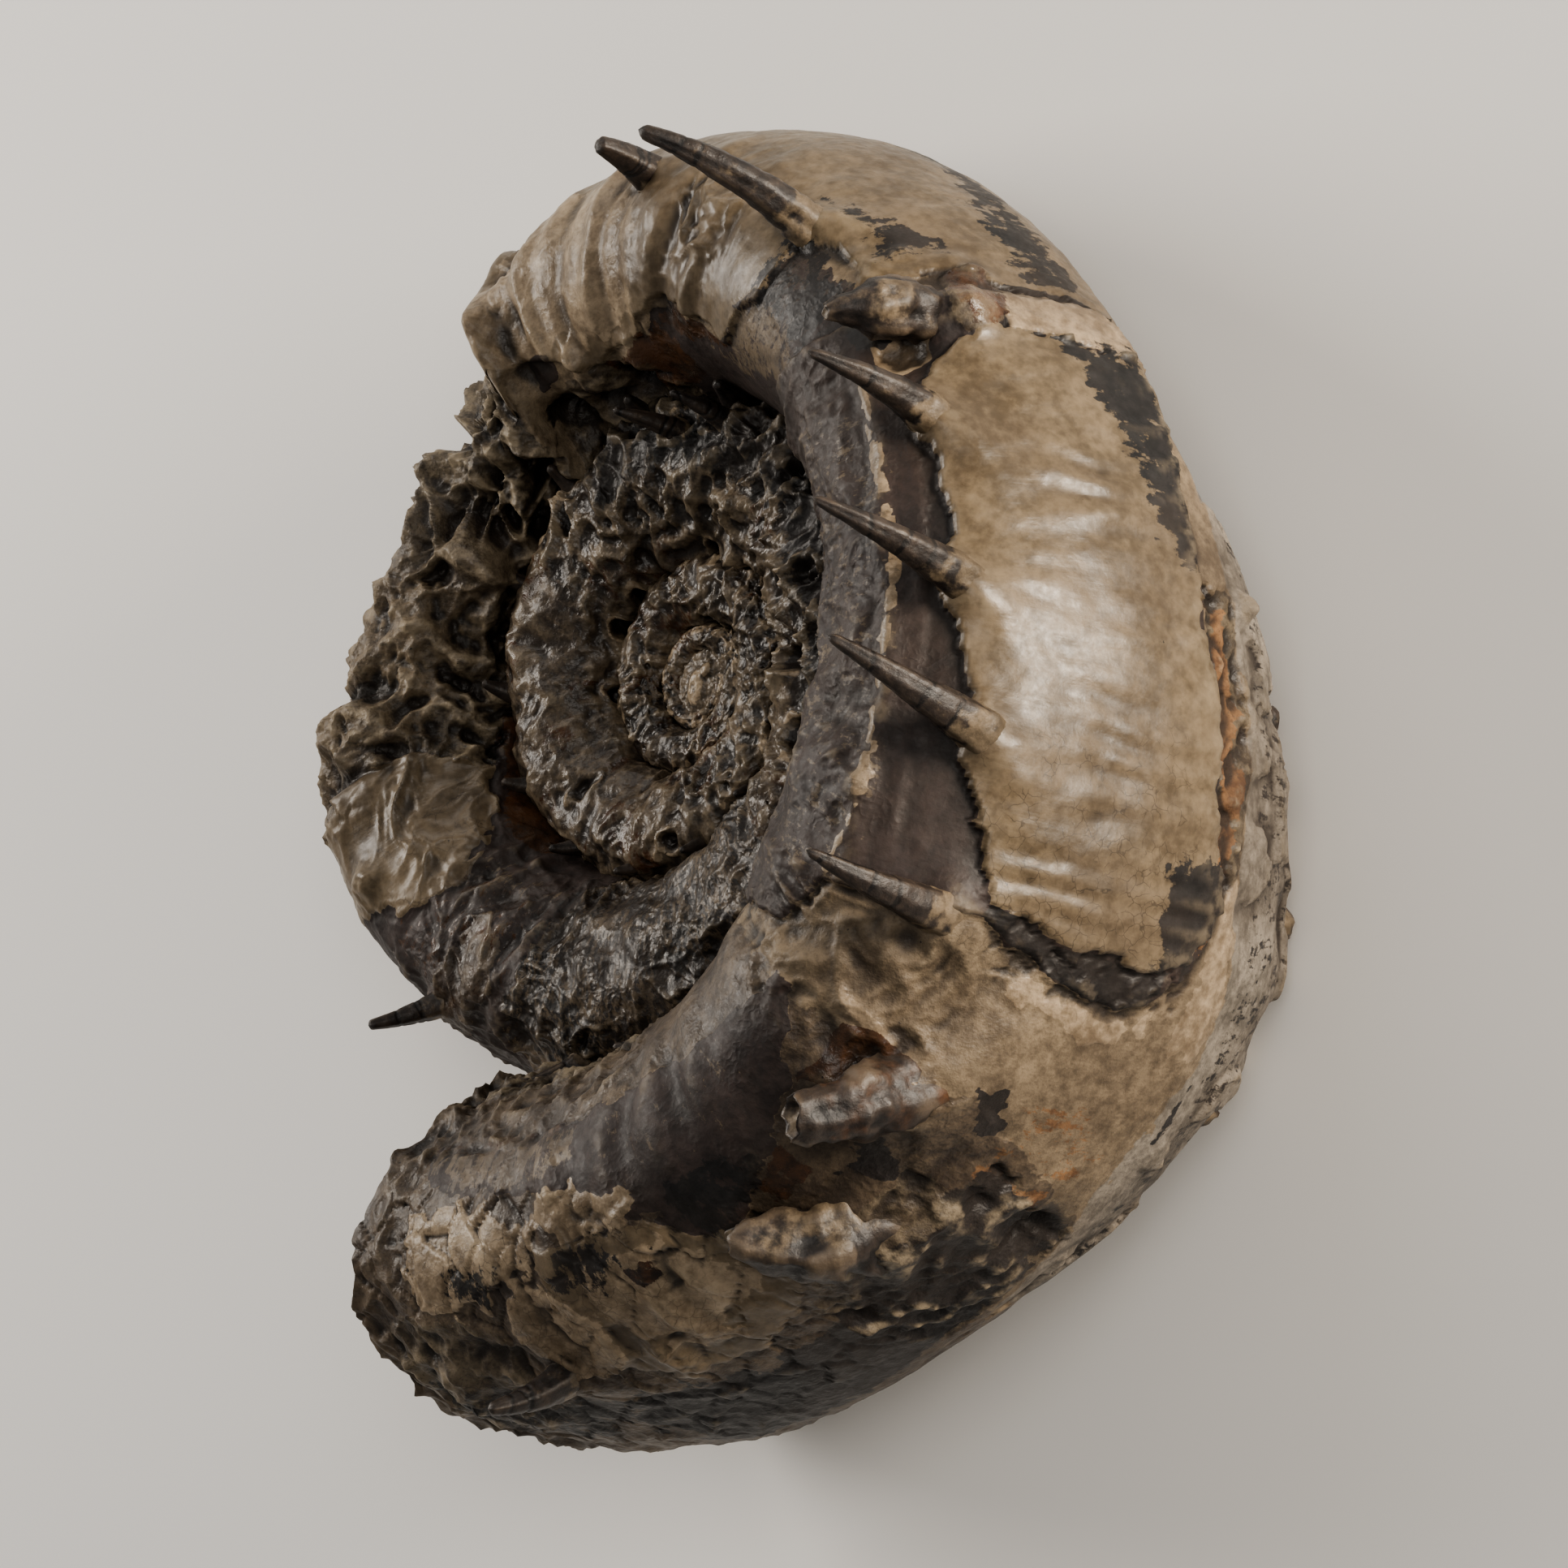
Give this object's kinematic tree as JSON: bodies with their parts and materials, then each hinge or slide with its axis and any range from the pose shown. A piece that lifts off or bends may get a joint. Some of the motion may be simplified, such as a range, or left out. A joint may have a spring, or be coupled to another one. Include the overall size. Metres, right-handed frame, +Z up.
{
  "type": "spiny ammonite fossil",
  "caption": "Inflated, openly coiled ammonite fossil with long lateral spines, worn and pitted on one side, broken at the mouth and lying on its flank.",
  "frame": {"origin": "middle of the footprint's bounding box, on the surface that the fossil lies on", "axes": "+Z up, close to the coil's axis and out of the shown flank; +Y along the longest diameter, away from the broken mouth; +X towards the belly with the long spines"},
  "size_m": [0.1568, 0.1792, 0.0904],
  "materials": {
    "fossil_shell": "polished tan and dark brown calcite shell over grey-tan mould"
  },
  "bodies": {
    "root": {"ammonite": "fossil_shell"}
  },
  "joints": []
}
